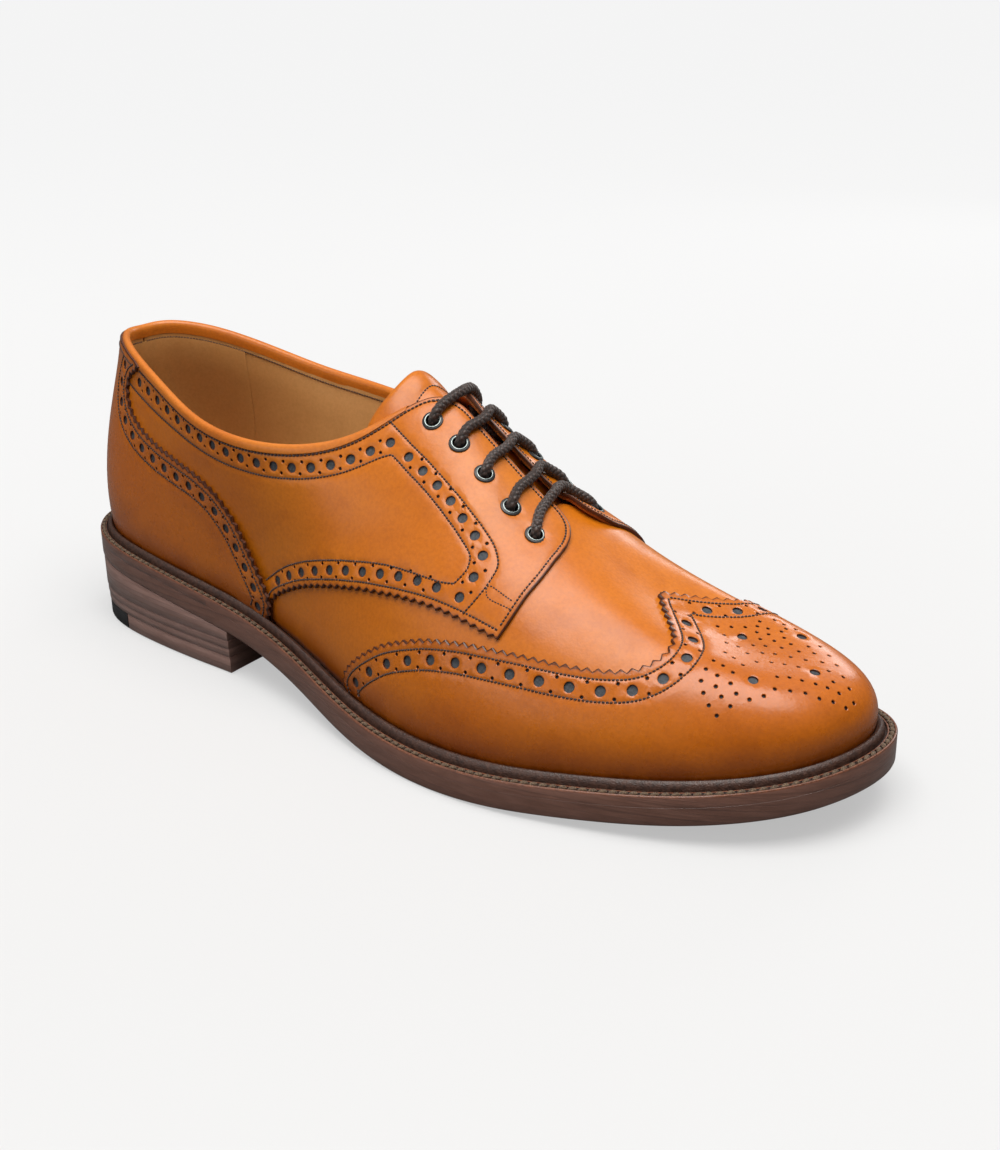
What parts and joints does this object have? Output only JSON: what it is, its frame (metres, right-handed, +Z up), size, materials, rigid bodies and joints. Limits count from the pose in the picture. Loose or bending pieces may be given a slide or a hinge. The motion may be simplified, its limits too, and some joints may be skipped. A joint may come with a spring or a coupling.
{
  "type": "leather derby shoe",
  "caption": "Right-foot open-laced leather derby shoe with wingtip brogue toe, storm welt, leather outsole, stacked heel with rubber tip, five-row bar lacing and padded tongue.",
  "frame": {"origin": "on the ground, at the middle of the heel rest face", "axes": "+X from heel to toe, +Y toward the inner (medial) side of the right foot, +Z up"},
  "size_m": [0.3068, 0.1066, 0.1064],
  "materials": {
    "tan_leather": "glossy burnished calf",
    "tan_leather_overlay": "glossy burnished calf, gimped and punched",
    "sole_leather": "polished dark brown edge",
    "heel_leather": "polished dark brown leather board",
    "rubber": "matt black",
    "lining_leather": "smooth natural lining",
    "binding_leather": "smooth folded edge",
    "suede": "suede heel grip",
    "board": "stiffened fibre",
    "cork": "ground cork",
    "steel": "spring steel",
    "brass": "brass",
    "black_metal": "black enamel with bright inner rim",
    "thread": "waxed linen thread",
    "lace": "waxed braided cotton",
    "plastic": "clear-coated lace tip",
    "linen": "canvas rib"
  },
  "bodies": {
    "rear": {"outsole_rear": "sole_leather", "welt": "sole_leather", "welt_stitching": "thread", "insole": "lining_leather", "insole_rib": "linen", "cork_filler": "cork", "shank": "steel", "heel_sock": "lining_leather", "heel_base": "heel_leather", "heel_lift_upper": "heel_leather", "heel_lift_lower": "heel_leather", "heel_top_piece": "heel_leather", "heel_rubber_tip": "rubber", "heel_nails": "brass", "heel_stiffener": "board", "quarter_lining_lateral": "lining_leather", "quarter_lining_medial": "lining_leather", "vamp_lining": "lining_leather", "heel_grip": "suede", "vamp": "tan_leather", "wingtip": "tan_leather_overlay", "quarter_lateral": "tan_leather", "quarter_medial": "tan_leather", "heel_foxing": "tan_leather_overlay", "topline_binding": "binding_leather", "lace": "lace", "aglets": "plastic", "bar_tacks": "thread"},
    "forefoot": {"outsole_fore": "sole_leather", "toe_puff": "board"},
    "flap_lateral": {"facing_lateral": "tan_leather", "facing_lining_lateral": "lining_leather", "eyelets_lateral": "black_metal"},
    "flap_medial": {"facing_medial": "tan_leather", "facing_lining_medial": "lining_leather", "eyelets_medial": "black_metal"},
    "tongue": {"tongue": "tan_leather", "tongue_lining": "lining_leather"}
  },
  "joints": [
    {"name": "ball_flex", "type": "hinge", "parent": "rear", "child": "forefoot", "pos_m": [0.196, 0, 0.0125], "axis": [0, -1, 0], "range_deg": [0, 30], "deforming": ["welt", "welt_stitching", "insole", "insole_rib", "cork_filler", "vamp", "vamp_lining", "wingtip"]},
    {"name": "lateral_facing", "type": "hinge", "parent": "rear", "child": "flap_lateral", "pos_m": [0.14333, -0.02383, 0.07798], "axis": [0.803, -0.2362, -0.5472], "range_deg": [0, 22], "deforming": ["lace", "aglets"]},
    {"name": "medial_facing", "type": "hinge", "parent": "rear", "child": "flap_medial", "pos_m": [0.14424, 0.02085, 0.07753], "axis": [-0.8247, -0.1663, 0.5406], "range_deg": [0, 22]},
    {"name": "tongue_hinge", "type": "hinge", "parent": "rear", "child": "tongue", "pos_m": [0.1744, 0, 0.0617], "axis": [0, 1, 0], "range_deg": [-15, 0]}
  ]
}
